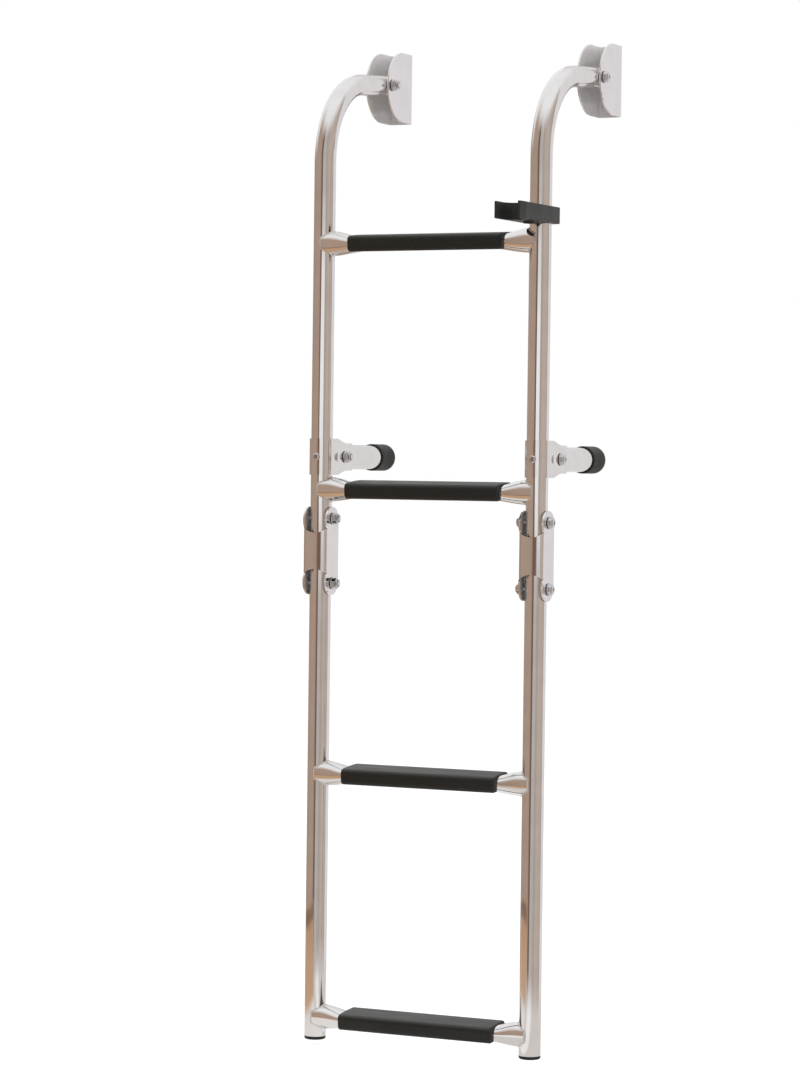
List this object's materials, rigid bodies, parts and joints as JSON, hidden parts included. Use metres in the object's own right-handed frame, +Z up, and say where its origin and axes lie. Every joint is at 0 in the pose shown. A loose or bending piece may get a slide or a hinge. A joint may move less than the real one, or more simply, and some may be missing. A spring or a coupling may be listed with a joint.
{
  "type": "folding boarding ladder",
  "caption": "Polished tube boarding ladder for a boat's transom, with bent arms on wall brackets, black treads, rubber standoffs and a lower half that folds up on double-pivot hinges.",
  "frame": {"origin": "centre of the left bracket's flat back face, on the transom plane and level with the bolt that holds the arm", "axes": "+Z up, +Y out of the bracket's back into the transom, +X across the ladder from the left rail to the right rail"},
  "size_m": [0.2813, 0.259, 1.024],
  "materials": {
    "polished_steel": "mirror-polished stainless steel",
    "tread_plastic": "black moulded plastic",
    "pad_rubber": "dull black rubber",
    "clip_plastic": "black moulded plastic",
    "cap_plastic": "black moulded plastic"
  },
  "bodies": {
    "brackets": {"left_mount_bracket": "polished_steel", "left_mount_bolt": "polished_steel", "left_mount_nut": "polished_steel", "right_mount_bracket": "polished_steel", "right_mount_bolt": "polished_steel", "right_mount_nut": "polished_steel"},
    "upper_section": {"left_upper_rail": "polished_steel", "left_standoff_clamp": "polished_steel", "left_standoff_tube": "polished_steel", "left_standoff_pad": "pad_rubber", "left_strap_screw": "polished_steel", "left_standoff_bolt": "polished_steel", "left_standoff_nut": "polished_steel", "right_upper_rail": "polished_steel", "right_standoff_clamp": "polished_steel", "right_standoff_tube": "polished_steel", "right_standoff_pad": "pad_rubber", "right_strap_screw": "polished_steel", "right_standoff_bolt": "polished_steel", "right_standoff_nut": "polished_steel", "step_1_tube": "polished_steel", "step_1_tread": "tread_plastic", "step_2_tube": "polished_steel", "step_2_tread": "tread_plastic", "stow_clip": "clip_plastic"},
    "hinge_links": {"left_hinge_channel": "polished_steel", "left_upper_pivot_bolt": "polished_steel", "left_upper_pivot_nut": "polished_steel", "left_lower_pivot_bolt": "polished_steel", "left_lower_pivot_nut": "polished_steel", "right_hinge_channel": "polished_steel", "right_upper_pivot_bolt": "polished_steel", "right_upper_pivot_nut": "polished_steel", "right_lower_pivot_bolt": "polished_steel", "right_lower_pivot_nut": "polished_steel"},
    "lower_section": {"left_lower_rail": "polished_steel", "left_foot_cap": "cap_plastic", "right_lower_rail": "polished_steel", "right_foot_cap": "cap_plastic", "step_3_tube": "polished_steel", "step_3_tread": "tread_plastic", "step_4_tube": "polished_steel", "step_4_tread": "tread_plastic"}
  },
  "joints": [
    {"name": "mount_swing", "type": "hinge", "parent": "brackets", "child": "upper_section", "pos_m": [0, -0.049, 0], "axis": [-1, 0, 0], "range_deg": [0, 110]},
    {"name": "link_swing", "type": "hinge", "parent": "upper_section", "child": "hinge_links", "pos_m": [0, -0.177, -0.454], "axis": [-1, 0, 0], "range_deg": [0, 90]},
    {"name": "lower_fold", "type": "hinge", "parent": "hinge_links", "child": "lower_section", "pos_m": [0, -0.177, -0.52], "axis": [-1, 0, 0], "range_deg": [0, 90]}
  ]
}
